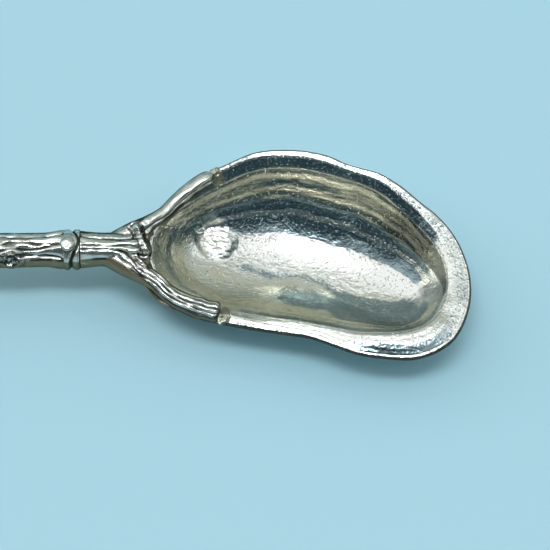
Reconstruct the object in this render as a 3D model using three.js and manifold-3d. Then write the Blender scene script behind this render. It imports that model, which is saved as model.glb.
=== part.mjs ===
// A cast and soldered silver jam spoon. An oyster-shaped bowl with a flared lip hangs in the fork of a
// bark-covered branch, and the branch runs back as the handle. Millimetres, +Z up, +X from the handle
// to the bowl's tip. The origin is the centre of the flat that the bowl rests on. Nothing on it moves:
// the castings meet at a spigot, at pegs and at soldered seats, and every seat keeps jointGap.
import * as THREE from "three";
import { mergeVertices } from "three/addons/utils/BufferGeometryUtils.js";
import Module from "manifold-3d";

const wasm = await Module();
wasm.setup();

// Bowl
const bowlLength = 51.5;
const bowlWidth = 35.8;
const wellDepth = 8.4; // shoulder of the lip down to the inside bottom
const wellFullness = 2.3; // 2 is a parabola, more is a flatter floor and a steeper wall
const valleyRise = 2.2; // ends of the well's lowest line above its middle
const bowlWall = 1.3;
const restDepth = 0.2; // worn off the underside, so that the bowl stands on a flat
const lipWidth = 3.9;
const lipSwell = 1.4; // extra width at the near corner of the tip
const lipPinch = 0.8; // less width along the far side
const heelPinch = 2.6; // much less between the twigs, where the well runs up to the fork
const lipRise = 1.0; // outer edge above the shoulder
const lipThickness = 1.2;
const rimWave = 0.2; // rise and fall of the shell's edge

// Fork, cradle and twigs
const neckLength = 11; // heel of the bowl back to the node
const neckRadius = 2.7;
const neckLift = 1.9; // neck axis above the shoulder of the lip
const webThickness = 2.6; // of the wrinkled crotch between the twigs
const farTwigLength = 17.7; // along the rim from the heel
const nearTwigLength = 19.4;
const farTwigRadius = 1.25;
const nearTwigRadius = 1.5;
const twigLift = 0.9; // twig axis above the middle of the lip
const cradleWidth = 19;
const cradleWall = 1.2; // metal under the bowl's skin
const cradleReach = 12; // forward of the heel, under the bowl
const cradleLean = 0.35; // its middle lies this much to the near side, as the bowl's heel does

// Node, handle and what is set into them
const nodeRadius = 3.15;
const collarWidth = 2.0;
const spigotRadius = 1.2;
const spigotInHandle = 6;
const spigotInNeck = 3.6;
const handleLength = 84; // node to tail
const handleRadius = 2.7;
const handleArch = 1.4; // the handle's highest point above the node
const handleSway = 0.8; // sideways bend of the branch
const tailRadius = 2.9;
const barkDepth = 0.2;
const barkWave = 9; // a ridge wanders round the branch once in about six of these
const frontStubAt = 8.4; // pruned twigs, along the handle from the node
const middleStubAt = 36;
const tailStubAt = 66;
const budRadius = 0.95;
const pegRadius = 0.55;
const pegDepth = 1.2;

const jointGap = 0.3; // left at each soldered seat
const pinGap = 0.15; // round a spigot or a peg

// Heights and places that follow from the sizes above
const floorInside = bowlWall - restDepth;
const shoulderHeight = floorInside + wellDepth;
const neckHeight = shoulderHeight + neckLift;
const neckBottom = neckHeight - neckRadius;
const forkSeat = shoulderHeight - 0.3 * lipThickness;
const tau = 2 * Math.PI;

// Rim outline from above, from the heel round the far side to the tip and back along the near side,
// in shares of the bowl's length and width
const rimOutline = [
  [-0.500, 0.033], [-0.486, 0.130], [-0.434, 0.226], [-0.350, 0.340], [-0.249, 0.423], [-0.160, 0.486],
  [-0.070, 0.501], [0.010, 0.491], [0.075, 0.464], [0.125, 0.426], [0.172, 0.405], [0.225, 0.384],
  [0.290, 0.322], [0.350, 0.240], [0.399, 0.178], [0.450, 0.086], [0.485, -0.025], [0.499, -0.123],
  [0.498, -0.218], [0.480, -0.318], [0.445, -0.408], [0.390, -0.467], [0.325, -0.499], [0.245, -0.499],
  [0.155, -0.481], [0.080, -0.441], [0.011, -0.403], [-0.080, -0.381], [-0.170, -0.360],
  [-0.265, -0.332], [-0.345, -0.300], [-0.420, -0.240], [-0.475, -0.155], [-0.500, -0.060],
].map(([x, y]) => new THREE.Vector3(x * bowlLength, y * bowlWidth, 0));
const rimCurve = new THREE.CatmullRomCurve3(rimOutline, true, "centripetal");
rimCurve.arcLengthDivisions = 600;
const rimLength = rimCurve.getLength();
const heelX = rimOutline[0].x;

// The valley, the lowest line of the well, from above and in the same shares
const valley = new THREE.CatmullRomCurve3([
  [-0.243, 0.050], [-0.039, 0.025], [0.155, -0.050], [0.282, -0.128],
].map(([x, y]) => new THREE.Vector3(x * bowlLength, y * bowlWidth, 0))).getPoints(24);

// One smooth hump of the given half width round a closed loop of length 1
function hump(u, centre, halfWidth) {
  const away = Math.abs(((u - centre + 1.5) % 1) - 0.5) / halfWidth;
  return away < 1 ? Math.cos((away * Math.PI) / 2) ** 2 : 0;
}

function smoothStep(low, high, x) {
  return THREE.MathUtils.smoothstep(x, low, high);
}

// The rim at a share u of its length: the outer edge, the way in and the lip's width and lift there
function rimAt(u) {
  const share = ((u % 1) + 1) % 1;
  const edge = rimCurve.getPointAt(share);
  const along = rimCurve.getTangentAt(share);
  return {
    edge,
    along,
    inward: new THREE.Vector3(along.y, -along.x, 0).normalize(),
    width: lipWidth + lipSwell * hump(share, 0.62, 0.14) - lipPinch * hump(share, 0.28, 0.24)
      - heelPinch * hump(share, 0, 0.13),
    lift: rimWave * (Math.sin(tau * (3 * share + 0.1)) + 0.5 * Math.sin(tau * (7 * share + 0.3))),
  };
}

// The shoulder of the lip, where the well begins: the outer edge's notches are smoothed out of it
function shoulderAt(u) {
  const sum = new THREE.Vector3();
  const spread = [-0.03, -0.015, 0, 0.015, 0.03];
  for (const nearby of spread) {
    const rim = rimAt(u + nearby);
    sum.add(rim.edge).addScaledVector(rim.inward, rim.width);
  }
  return sum.divideScalar(spread.length);
}

// The bowl's section. Up to across 1 it is the well, from 1 to 2 the lip; up is the inner or top side
const wellSteps = [0.08, 0.17, 0.27, 0.38, 0.49, 0.6, 0.71, 0.81, 0.89, 0.95];
const lipTop = [[1.0, 0], [1.2, 0.1], [1.5, 0.3], [1.8, 0.72], [1.94, 1.0]];
const lipUnder = [[1.98, 1.0], [1.8, 0.72], [1.5, 0.3], [1.2, 0.1]];

// Height of the inside at a point of the plan that lies toShoulder from the shoulder of the lip
function wellHeight(point, toShoulder) {
  const flat = point.clone().setZ(0);
  const nearest = new THREE.Vector3();
  let away = Infinity;
  let fromMiddle = 0;
  for (let i = 1; i < valley.length; i++) {
    new THREE.Line3(valley[i - 1], valley[i]).closestPointToPoint(flat, true, nearest);
    const distance = nearest.distanceTo(flat);
    if (distance >= away) continue;
    away = distance;
    const fraction = nearest.distanceTo(valley[i - 1]) / valley[i].distanceTo(valley[i - 1]);
    fromMiddle = (2 * (i - 1 + fraction)) / (valley.length - 1) - 1;
  }
  const rise = valleyRise * fromMiddle ** 2;
  return floorInside + rise + (wellDepth - rise) * (away / (away + toShoulder)) ** wellFullness;
}

// A point of the bowl's section on the rim station at share u
function bowlPoint(station, u) {
  const rim = rimAt(u);
  const shoulder = shoulderAt(u);
  if (station.across > 1) {
    const top = shoulderHeight + lipRise * station.rise + rim.lift * (station.across - 1);
    return shoulder.lerp(rim.edge, station.across - 1).setZ(top - station.drop);
  }
  const point = shoulder.clone().multiplyScalar(station.across);
  const toShoulder = (station.across - 1) * shoulder.dot(rim.inward);
  const height = wellHeight(point, toShoulder);
  if (!station.under) return point.setZ(height);
  const step = 0.1 * bowlWall;
  const [alongX, alongY] = [new THREE.Vector3(step, 0, 0), new THREE.Vector3(0, step, 0)].map((move) => {
    const beside = wellHeight(point.clone().add(move), toShoulder + move.dot(rim.inward));
    return (beside - height) / step;
  });
  point.setZ(height).add(new THREE.Vector3(alongX, alongY, -1).setLength(bowlWall));
  return point.setZ(Math.max(0, point.z));
}

function bowlGeometry() {
  const stations = [
    { across: 0 },
    ...wellSteps.map((across) => ({ across })),
    ...lipTop.map(([across, rise]) => ({ across: Math.max(across, 1.0001), rise, drop: 0 })),
    { across: 2, rise: 1.0, drop: 0.35 * lipThickness },
    ...lipUnder.map(([across, rise]) => ({ across, rise, drop: lipThickness })),
    ...wellSteps.toReversed().map((across) => ({ across, under: true })),
    { across: 0, under: true },
  ];
  const profile = stations.map((station, i) => new THREE.Vector2(station.across, i));
  const lathe = new THREE.LatheGeometry(profile, 72);
  return moved(lathe, (v) => bowlPoint(stations[Math.round(v.y)], Math.atan2(v.x, v.z) / tau));
}

// Each vertex of a geometry put where place() says
function moved(geometry, place) {
  const position = geometry.getAttribute("position");
  const vertex = new THREE.Vector3();
  for (let i = 0; i < position.count; i++) {
    vertex.fromBufferAttribute(position, i);
    position.setXYZ(i, ...place(vertex).toArray());
  }
  return geometry;
}

// A geometry with its shared vertices merged and its collapsed triangles dropped
function merged(geometry) {
  const bare = geometry.clone();
  bare.deleteAttribute("normal");
  bare.deleteAttribute("uv");
  const shared = mergeVertices(bare, 1e-4);
  const kept = [];
  const corners = shared.index.array;
  for (let i = 0; i < corners.length; i += 3) {
    const [a, b, c] = corners.slice(i, i + 3);
    if (a !== b && b !== c && c !== a) kept.push(a, b, c);
  }
  return shared.setIndex(kept);
}

function solidOf(geometry) {
  const shared = merged(geometry);
  return new wasm.Manifold(new wasm.Mesh({
    numProp: 3,
    vertProperties: shared.getAttribute("position").array,
    triVerts: new Uint32Array(shared.index.array),
  }));
}

// The same surface moved out along its normals, to cut a seat with a gap
function grown(geometry, gap) {
  const shared = merged(geometry);
  shared.computeVertexNormals();
  const position = shared.getAttribute("position");
  const normal = shared.getAttribute("normal");
  const vertex = new THREE.Vector3();
  for (let i = 0; i < position.count; i++) {
    vertex.fromBufferAttribute(normal, i).multiplyScalar(gap);
    position.setXYZ(i, position.getX(i) + vertex.x, position.getY(i) + vertex.y, position.getZ(i) + vertex.z);
  }
  return shared;
}

// The geometry of a solid's largest body
function geometryOf(solid) {
  const bodies = solid.decompose().sort((a, b) => b.volume() - a.volume());
  const mesh = bodies[0].getMesh();
  const geometry = new THREE.BufferGeometry();
  geometry.setAttribute("position", new THREE.BufferAttribute(new Float32Array(mesh.vertProperties), 3));
  geometry.setIndex(new THREE.BufferAttribute(new Uint32Array(mesh.triVerts), 1));
  geometry.computeVertexNormals();
  return geometry;
}

// Bark: ridges along the branch on its top and sides, fading out on the smooth underside.
// angle is round the branch with a quarter turn at the top, along is in millimetres
function bark(angle, along) {
  const wave = along / barkWave;
  const ridges = Math.cos(6 * angle + wave)
    + 0.6 * Math.cos(9 * angle - 1.7 * wave + 1.3)
    + 0.35 * Math.cos(4 * angle + 3.9 * wave);
  return barkDepth * ridges * (0.12 + 0.88 * smoothStep(-0.5, 0.35, Math.sin(angle)));
}

// The branch's directions at a share u of a path: forward, sideways and up
function frameAt(path, u) {
  const forward = path.getTangentAt(u);
  const side = new THREE.Vector3(0, 0, 1).cross(forward).normalize();
  return { point: path.getPointAt(u), side, up: forward.clone().cross(side) };
}

// A turned profile of [length along, radius] pairs, bent along a path and roughened with bark
function branchGeometry(path, profile, sides, roughness) {
  const total = profile[profile.length - 1][0];
  const points = profile.map(([along, radius]) => new THREE.Vector2(radius, along));
  const lathe = new THREE.LatheGeometry(points, sides);
  return moved(lathe, (v) => {
    const radius = Math.hypot(v.x, v.z);
    const angle = Math.atan2(v.z, -v.x);
    const { point, side, up } = frameAt(path, THREE.MathUtils.clamp(v.y / total, 0, 1));
    const reach = radius > 0 ? radius + roughness * bark(angle, v.y) : 0;
    return point.addScaledVector(side, reach * Math.cos(angle)).addScaledVector(up, reach * Math.sin(angle));
  });
}

// A piece turned on its own axis, of [height, radius] pairs, stood at a point along an axis
function turned(profile, sides, point, axis) {
  const lathe = new THREE.LatheGeometry(profile.map(([height, radius]) => new THREE.Vector2(radius, height)), sides);
  const turn = new THREE.Quaternion().setFromUnitVectors(new THREE.Vector3(0, 1, 0), axis.clone().normalize());
  return lathe.applyQuaternion(turn).translate(...point.toArray());
}

// Node: the handle, the collar and the neck meet here, on one straight axis
const forward = new THREE.Vector3(1, 0, 0);
const nodeCentre = new THREE.Vector3(heelX - neckLength, 0, neckHeight);
const faceOffset = collarWidth / 2 + jointGap;

// Neck of the fork: from the node to the heel, sinking a little towards the bowl
function neckGeometry() {
  const start = nodeCentre.clone().addScaledVector(forward, faceOffset);
  const path = new THREE.CatmullRomCurve3([
    start,
    start.clone().addScaledVector(forward, 0.35 * neckLength),
    new THREE.Vector3(heelX - 0.25 * neckLength, 0, neckHeight - 0.2),
    new THREE.Vector3(heelX + 0.6 * neckRadius, 0, neckHeight - 0.7),
  ]);
  const length = path.getLength();
  const flare = nodeRadius - 0.15;
  return branchGeometry(path, [
    [0, 0], [0, flare], [0.12 * length, neckRadius + 0.12], [0.3 * length, neckRadius],
    [0.45 * length, neckRadius], [0.6 * length, neckRadius], [0.75 * length, neckRadius],
    [0.88 * length, 0.86 * neckRadius], [0.97 * length, 0.55 * neckRadius], [length, 0],
  ], 30, 1);
}

// Axis of a twig: out of the neck, then along the rim. way is 1 for the far side and -1 for the near
function twigPath(way, length, radius) {
  const points = [
    new THREE.Vector3(heelX - 0.55 * neckLength, 0.1 * neckRadius * way, neckHeight - 0.1),
    new THREE.Vector3(heelX - 0.14 * neckLength, 1.12 * neckRadius * way, neckHeight),
  ];
  const firstOnRim = 0.38 * length;
  const steps = 5;
  for (let i = 0; i <= steps; i++) {
    const along = firstOnRim + ((length - firstOnRim) * i) / steps;
    const rim = rimAt((way * along) / rimLength);
    const axis = rim.edge.clone().addScaledVector(rim.inward, radius);
    points.push(axis.setZ(shoulderHeight + 0.5 * lipRise + rim.lift + twigLift));
  }
  return new THREE.CatmullRomCurve3(points);
}

function twigGeometry(way, length, radius) {
  const path = twigPath(way, length, radius);
  const total = path.getLength();
  const profile = [[0, 0], [0.02 * total, 0.8 * radius]];
  for (let i = 1; i < 14; i++) {
    const share = i / 14;
    const thick = 1.25 - 0.25 * smoothStep(0.1, 0.5, share) + 0.05 * Math.sin(9 * share);
    profile.push([share * total, thick * radius]);
  }
  profile.push([0.985 * total, 0.94 * radius], [total, 0.75 * radius], [total, 0]);
  return branchGeometry(path, profile, 20, 0.8);
}

// The crotch between the twigs: rounded folds in the wood, given as where they lie along and beside the
// neck in shares of its length and radius, their turn in degrees, and their half length and half width
const crotchFolds = [
  [-0.2, 0, 0, 0.36, 0.95], [-0.06, 0.85, 38, 0.27, 0.62], [-0.06, -0.85, -38, 0.27, 0.62],
  [0.0, 0.3, 62, 0.17, 0.4], [0.0, -0.35, -62, 0.17, 0.4],
];

function crotchGeometry([along, beside, turn, halfLength, halfWidth]) {
  const fold = new THREE.SphereGeometry(1, 20, 12);
  fold.scale(halfLength * neckLength, halfWidth * neckRadius, 0.5 * webThickness);
  fold.rotateZ(THREE.MathUtils.degToRad(turn));
  const height = shoulderHeight + lipRise + 0.25 * webThickness - along * 0.6 * neckLift;
  return fold.translate(heelX + along * neckLength, beside * neckRadius, height);
}

// The space over the scarf between fork and cradle, from the neck's underside up to the level seat
function aboveScarf(gap) {
  const back = heelX - 0.75 * neckLength;
  const low = neckBottom + gap;
  const seat = forkSeat + gap;
  const side = new THREE.Shape([
    new THREE.Vector2(back - neckLength, low - (seat - low)),
    new THREE.Vector2(back, low),
    new THREE.Vector2(back + 0.55 * neckLength, seat),
    new THREE.Vector2(heelX + bowlLength, seat),
    new THREE.Vector2(heelX + bowlLength, seat + bowlLength),
    new THREE.Vector2(back - neckLength, seat + bowlLength),
  ]);
  const block = new THREE.ExtrudeGeometry(side, { depth: 2 * bowlWidth, bevelEnabled: false });
  return block.rotateX(Math.PI / 2).translate(0, bowlWidth, 0);
}

function spigotGeometry(grow) {
  const radius = spigotRadius + grow;
  const back = spigotInHandle + faceOffset + grow;
  const front = spigotInNeck + faceOffset + grow;
  const bevel = 0.3;
  const profile = [
    [-back, 0], [-back, radius - bevel], [-back + bevel, radius],
    [front - bevel, radius], [front, radius - bevel], [front, 0],
  ];
  return turned(profile, 24, nodeCentre, forward);
}

function forkGeometry(bowlCutter) {
  const branches = [
    ...crotchFolds.map(crotchGeometry),
    twigGeometry(1, farTwigLength, farTwigRadius),
    twigGeometry(-1, nearTwigLength, nearTwigRadius),
  ].reduce((solid, branch) => solid.add(solidOf(branch)), solidOf(neckGeometry()));
  const seated = branches.intersect(solidOf(aboveScarf(jointGap))).subtract(bowlCutter);
  return geometryOf(seated.subtract(solidOf(spigotGeometry(pinGap))));
}

// Cradle: the smooth back of the fork. It widens under the lip, and a drop and two arms run forward.
// Its section is a squarish half round that hangs from the height of the lip
function cradleGeometry(bowlCutter) {
  const back = heelX - 0.75 * neckLength;
  const front = heelX + cradleReach;
  const halfWidth = 0.5 * cradleWidth;
  const top = shoulderHeight + lipRise;
  const dropEnd = wellHeight(new THREE.Vector3(front, 0, 0), front - shoulderAt(0).x) - bowlWall - cradleWall;
  const rows = 16;
  const profile = [new THREE.Vector2(0, 0)];
  for (let i = 0; i <= rows; i++) profile.push(new THREE.Vector2(1, i / rows));
  profile.push(new THREE.Vector2(0, 1));
  const squareness = 0.55;
  const lobe = moved(new THREE.LatheGeometry(profile, 40), (v) => {
    const x = back + v.y * (front - back);
    const flare = smoothStep(back + 0.1 * neckLength, heelX + 0.48 * cradleReach, x);
    const wide = 0.3 * neckRadius + (halfWidth - 0.3 * neckRadius) * flare;
    const deep = top - neckBottom + (neckBottom - dropEnd) * smoothStep(0.12, 1, v.y);
    const beside = -Math.sign(v.x) * Math.abs(v.x) ** squareness * wide;
    const below = Math.sign(v.z) * Math.abs(v.z) ** squareness * deep;
    return new THREE.Vector3(x, beside - cradleLean * flare, top + below);
  });
  const plan = new THREE.Shape().moveTo(back - 1, halfWidth).lineTo(back - 1, -halfWidth - cradleLean);
  const steps = 32;
  for (let i = 0; i <= steps; i++) {
    const y = halfWidth * ((2 * i) / steps - 1);
    const reach = 0.79 + 0.2 * Math.cos((tau * y) / halfWidth);
    plan.lineTo(heelX + cradleReach * reach, y - cradleLean);
  }
  const outline = new THREE.ExtrudeGeometry(plan, { depth: top, bevelEnabled: false });
  const seated = solidOf(lobe).intersect(solidOf(outline));
  return geometryOf(seated.subtract(solidOf(aboveScarf(0))).subtract(bowlCutter));
}

function collarGeometry() {
  const half = collarWidth / 2;
  const bore = spigotRadius + pinGap;
  const profile = [
    [-half, bore], [-half, nodeRadius - 0.45], [-0.62 * half, nodeRadius - 0.12], [0, nodeRadius],
    [0.62 * half, nodeRadius - 0.12], [half, nodeRadius - 0.45], [half, bore], [-half, bore],
  ];
  return turned(profile, 36, nodeCentre, forward);
}

// Handle: back from the node in a low arch to the tail, which rests on the table
const handleStart = nodeCentre.clone().addScaledVector(forward, -faceOffset);
const handlePath = new THREE.CatmullRomCurve3([
  [0, 0, 0], [0.12, -0.35, 0.2], [0.34, -1, 1], [0.52, -0.2, 0.8], [0.72, 0.8, -0.1], [0.88, 0.3, -0.2], [1, 0, 0],
].map(([along, sway, arch]) => {
  const fall = (nodeCentre.z - tailRadius + restDepth) * smoothStep(0.4, 1.08, along) ** 1.1;
  return new THREE.Vector3(
    handleStart.x - along * handleLength,
    sway * handleSway,
    nodeCentre.z + arch * handleArch - fall / smoothStep(0.4, 1.08, 1) ** 1.1,
  );
}));
const handleArc = handlePath.getLength();

function handleProfile() {
  const profile = [[0, 0], [0, nodeRadius - 0.3], [0.9, nodeRadius - 0.12], [2.4, nodeRadius - 0.3]];
  const steps = 40;
  for (let i = 1; i < steps; i++) {
    const share = i / steps;
    const swelling = 0.32 * hump(share, 0.44, 0.045) + 0.2 * Math.sin(12 * share) * smoothStep(0, 0.2, share);
    const tail = (tailRadius - handleRadius) * smoothStep(0.82, 0.96, share);
    profile.push([2.4 + share * (handleArc - 4.4), handleRadius + tail + swelling]);
  }
  profile.push([handleArc - 0.9, tailRadius], [handleArc - 0.25, tailRadius - 0.3]);
  profile.push([handleArc, tailRadius - 0.75], [handleArc, 0]);
  return profile;
}

// A stub where a side twig was pruned, with its peg, at a distance along the handle and an angle round it
function stubPlace(along, angle) {
  const { point, side, up } = frameAt(handlePath, along / handleArc);
  const out = side.multiplyScalar(Math.cos(angle)).addScaledVector(up, Math.sin(angle));
  return { point: point.addScaledVector(out, handleRadius), out };
}

function stubGeometry(place, radius, height, grow) {
  const profile = [
    [-pegDepth - grow, 0], [-pegDepth - grow, pegRadius + grow], [-0.35 - grow, pegRadius + grow],
    [-0.35 - grow, 1.15 * radius + grow], [0.1, 1.1 * radius + grow], [0.6 * height, 0.95 * radius + grow],
    [height, 0.8 * radius + grow], [height + grow, 0.5 * radius], [height - 0.12 + grow, 0],
  ];
  return turned(profile, 16, place.point, place.out);
}

const stubs = [
  { name: "pruned_twig_front", place: stubPlace(frontStubAt, 0.1 * tau), radius: 1.15, height: 0.7 },
  { name: "pruned_twig_middle", place: stubPlace(middleStubAt, 0.36 * tau), radius: 1.25, height: 1.1 },
  { name: "pruned_twig_tail", place: stubPlace(tailStubAt, 0.14 * tau), radius: 1.05, height: 0.9 },
];

// Bud on top of the node, pegged into the collar
function budGeometry(grow) {
  const seat = new THREE.Vector3(nodeCentre.x - 0.15, 0.1, nodeCentre.z + nodeRadius);
  const profile = [
    [-pegDepth - grow, 0], [-pegDepth - grow, pegRadius + grow], [-0.4 - grow, pegRadius + grow],
    [-0.4 - grow, budRadius + grow], [0.1, budRadius + grow], [0.45, 0.82 * budRadius + grow],
    [0.68 + grow, 0.45 * budRadius + grow], [0.76 + grow, 0],
  ];
  return turned(profile, 18, seat, new THREE.Vector3(0, 0, 1));
}

function withSeats(geometry, cutters) {
  return geometryOf(cutters.reduce((solid, cutter) => solid.subtract(solidOf(cutter)), solidOf(geometry)));
}

// Solder that fills the step at a twig's cut end, as wide as the lip is there
function solderGeometry(way, length, spread, bowlCutter) {
  const rim = rimAt((way * (length + jointGap + spread)) / rimLength);
  const halfWidth = 0.5 * (rim.width - jointGap);
  const middle = rim.edge.clone().addScaledVector(rim.inward, 0.5 * rim.width);
  middle.setZ(shoulderHeight + 0.35 * lipRise + 0.5 * rim.lift);
  const pad = new THREE.SphereGeometry(1, 16, 12).scale(spread, halfWidth, 1.1);
  pad.rotateZ(Math.atan2(rim.along.y, rim.along.x)).translate(...middle.toArray());
  return geometryOf(solidOf(pad).subtract(bowlCutter));
}

function metal(color, roughness) {
  return new THREE.MeshStandardMaterial({ color, roughness, metalness: 1 });
}

const castSilver = metal("#d9d6cb", 0.24);
const barkSilver = metal("#cfccc0", 0.3);
const spigotSilver = metal("#c9c6bb", 0.4);
const solderSilver = metal("#b9b193", 0.34);

const spoon = new THREE.Group();

function addPiece(name, geometry, material) {
  const mesh = new THREE.Mesh(geometry, material);
  mesh.name = name;
  spoon.add(mesh);
}

const bowl = bowlGeometry();
const bowlCutter = solidOf(grown(bowl, jointGap));
addPiece("bowl", merged(bowl), castSilver);
addPiece("branch_fork", forkGeometry(bowlCutter), barkSilver);
addPiece("heel_cradle", cradleGeometry(bowlCutter), castSilver);
addPiece("node_collar", withSeats(collarGeometry(), [budGeometry(pinGap)]), barkSilver);
addPiece("node_bud", budGeometry(0), barkSilver);
addPiece("joint_spigot", spigotGeometry(0), spigotSilver);
const handleCutters = [spigotGeometry(pinGap), budGeometry(pinGap)];
handleCutters.push(...stubs.map((stub) => stubGeometry(stub.place, stub.radius, stub.height, pinGap)));
const handle = branchGeometry(handlePath, handleProfile(), 32, 1);
moved(handle, (v) => v.clone().setZ(Math.max(0, v.z)));
addPiece("handle_branch", withSeats(handle, handleCutters), barkSilver);
for (const stub of stubs) {
  addPiece(stub.name, stubGeometry(stub.place, stub.radius, stub.height, 0), barkSilver);
}
addPiece("far_twig_solder", solderGeometry(1, farTwigLength, 0.6, bowlCutter), solderSilver);
addPiece("near_twig_solder", solderGeometry(-1, nearTwigLength, 0.85, bowlCutter), solderSilver);

export default spoon;
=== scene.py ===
import bisect
import math
import bmesh
import bpy
from mathutils import Matrix, Vector, kdtree, noise


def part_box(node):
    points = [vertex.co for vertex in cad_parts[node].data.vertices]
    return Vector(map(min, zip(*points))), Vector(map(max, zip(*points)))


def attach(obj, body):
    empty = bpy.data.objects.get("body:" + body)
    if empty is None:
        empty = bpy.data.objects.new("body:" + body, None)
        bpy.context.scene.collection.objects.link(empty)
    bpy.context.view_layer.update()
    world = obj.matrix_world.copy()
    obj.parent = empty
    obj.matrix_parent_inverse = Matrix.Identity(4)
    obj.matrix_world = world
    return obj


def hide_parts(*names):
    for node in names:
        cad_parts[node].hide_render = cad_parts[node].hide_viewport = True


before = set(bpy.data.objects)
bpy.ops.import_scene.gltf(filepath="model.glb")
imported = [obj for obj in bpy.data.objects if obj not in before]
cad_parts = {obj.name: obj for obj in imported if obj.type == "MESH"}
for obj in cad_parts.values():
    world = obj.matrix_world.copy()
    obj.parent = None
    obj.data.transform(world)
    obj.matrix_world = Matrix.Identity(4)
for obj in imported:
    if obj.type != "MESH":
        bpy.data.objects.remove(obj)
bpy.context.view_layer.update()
mm = 0.001
tau = 2 * math.pi


# Small helpers. Shapes are worked out in millimetres and scaled to metres when a piece is finished

def report(text):
    print("jam spoon:", text)


def linear(hexColour):
    values = [int(hexColour[i:i + 2], 16) / 255 for i in (1, 3, 5)]
    return [v / 12.92 if v <= 0.04045 else ((v + 0.055) / 1.055) ** 2.4 for v in values] + [1.0]


def smooth(low, high, x):
    t = min(1.0, max(0.0, (x - low) / (high - low)))
    return t * t * (3 - 2 * t)


def band(low, full, last, end, x):
    # rises from low to full and falls from last to end
    return smooth(low, full, x) * (1 - smooth(last, end, x))


def mix(a, b, t):
    return a + (b - a) * t


def bell(x, width):
    return math.exp(-(x / width) ** 2)


def hump(u, centre, halfWidth):
    away = abs((u - centre + 1.5) % 1 - 0.5) / halfWidth
    return math.cos(away * math.pi / 2) ** 2 if away < 1 else 0.0


def wander(x, y=0.0, z=0.0):
    return noise.noise(Vector((x, y, z)))


def mottled(point, *layers):
    # noise seen from above. Each layer is its height, the size of its features in mm and a seed
    return sum(height * wander(point.x / size, point.y / size, seed) for height, size, seed in layers)


def arc(turn, centre, radius):
    # the way round from the centre, both in degrees, in mm
    return ((turn - centre + 180) % 360 - 180) * math.pi / 180 * radius


def boxInMm(node):
    low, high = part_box(node)
    return low / mm, high / mm


def follow(rows, x, k=1):
    # value k of a smooth line through rows that start with their x and are sorted by it
    if x <= rows[0][0]:
        return rows[0][k]
    for a, b in zip(rows, rows[1:]):
        if x <= b[0]:
            return mix(a[k], b[k], smooth(a[0], b[0], x))
    return rows[-1][k]


class Crease:
    # a ridge or furrow seen from above: its points, height and half width in mm. It tapers at its ends
    def __init__(self, points, height, width):
        self.points = [Vector(point) for point in points]
        self.height, self.width = height, width
        self.low = min(point.x for point in self.points) - 3 * width
        self.high = max(point.x for point in self.points) + 3 * width

    def at(self, flat):
        # the share of its height at a point, and the distance from its line
        if not self.low < flat.x < self.high:
            return 0.0, 1e9
        away, place = 1e9, 0.0
        for i, (a, b) in enumerate(zip(self.points, self.points[1:])):
            t = min(1.0, max(0.0, (flat - a).dot(b - a) / (b - a).length_squared))
            distance = (flat - a.lerp(b, t)).length
            if distance < away:
                away, place = distance, (i + t) / (len(self.points) - 1)
        return band(-0.05, 0.25, 0.75, 1.05, place) * bell(away, self.width), away


class Route:
    # a smooth curve through points, measured along its length
    def __init__(self, points, closed=False, steps=28):
        count = len(points)
        self.points, self.lengths, self.closed = [], [0.0], closed
        for i in range(count if closed else count - 1):
            if closed:
                a, b, c, d = (points[(i + k) % count] for k in (-1, 0, 1, 2))
            else:
                b, c = points[i], points[i + 1]
                a = points[i - 1] if i > 0 else 2 * b - c
                d = points[i + 2] if i + 2 < count else 2 * c - b
            t0, t1, t2 = (max(1e-4, (q - p).length ** 0.5) for p, q in ((a, b), (b, c), (c, d)))
            m1 = ((b - a) / t0 - (c - a) / (t0 + t1) + (c - b) / t1) * t1
            m2 = ((c - b) / t1 - (d - b) / (t1 + t2) + (d - c) / t2) * t1
            for t in (j / steps for j in range(steps)):
                h = 2 * t ** 3 - 3 * t ** 2
                leaving, arriving = t ** 3 - 2 * t ** 2 + t, t ** 3 - t ** 2
                self.points.append(b * (h + 1) + m1 * leaving - c * h + m2 * arriving)
        self.points.append((points[0] if closed else points[-1]).copy())
        for p, q in zip(self.points, self.points[1:]):
            self.lengths.append(self.lengths[-1] + (q - p).length)
        self.total = self.lengths[-1]

    def at(self, share):
        along = (share % 1 if self.closed else min(1.0, max(0.0, share))) * self.total
        i = min(len(self.points) - 2, max(0, bisect.bisect_right(self.lengths, along) - 1))
        span = self.lengths[i + 1] - self.lengths[i]
        return self.points[i].lerp(self.points[i + 1], (along - self.lengths[i]) / span if span else 0)

    def heading(self, share):
        step = 0.002
        return (self.at(share + step) - self.at(share - step)).normalized()

    def frame(self, share):
        forward = self.heading(share)
        side = Vector((0, 0, 1)).cross(forward).normalized()
        return self.at(share), forward, side, forward.cross(side)


def addNode(tree, kind, settings, output=0):
    # settings are the node's own, or inputs by name or number, each a value or a socket to link
    node = tree.nodes.new("ShaderNode" + kind)
    for name, value in settings.items():
        if isinstance(value, bpy.types.NodeSocket):
            tree.links.new(value, node.inputs[name])
        elif isinstance(name, int) or name in node.inputs:
            node.inputs[name].default_value = value
        else:
            setattr(node, name, value)
    return node.outputs[output] if node.outputs else node


def graded(source, low, high, atLow=0.0, atHigh=1.0):
    # settings for a smooth step from one value to another
    return {"interpolation_type": "SMOOTHSTEP", "Value": source, "From Min": low, "From Max": high,
            "To Min": atLow, "To Max": atHigh}


def meshFrom(bm, name):
    mesh = bpy.data.meshes.new(name)
    bm.to_mesh(mesh)
    bm.free()
    return mesh


def addObject(name, data):
    piece = bpy.data.objects.new(name, data)
    bpy.context.scene.collection.objects.link(piece)
    return piece


# Camera, floor and light

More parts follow.
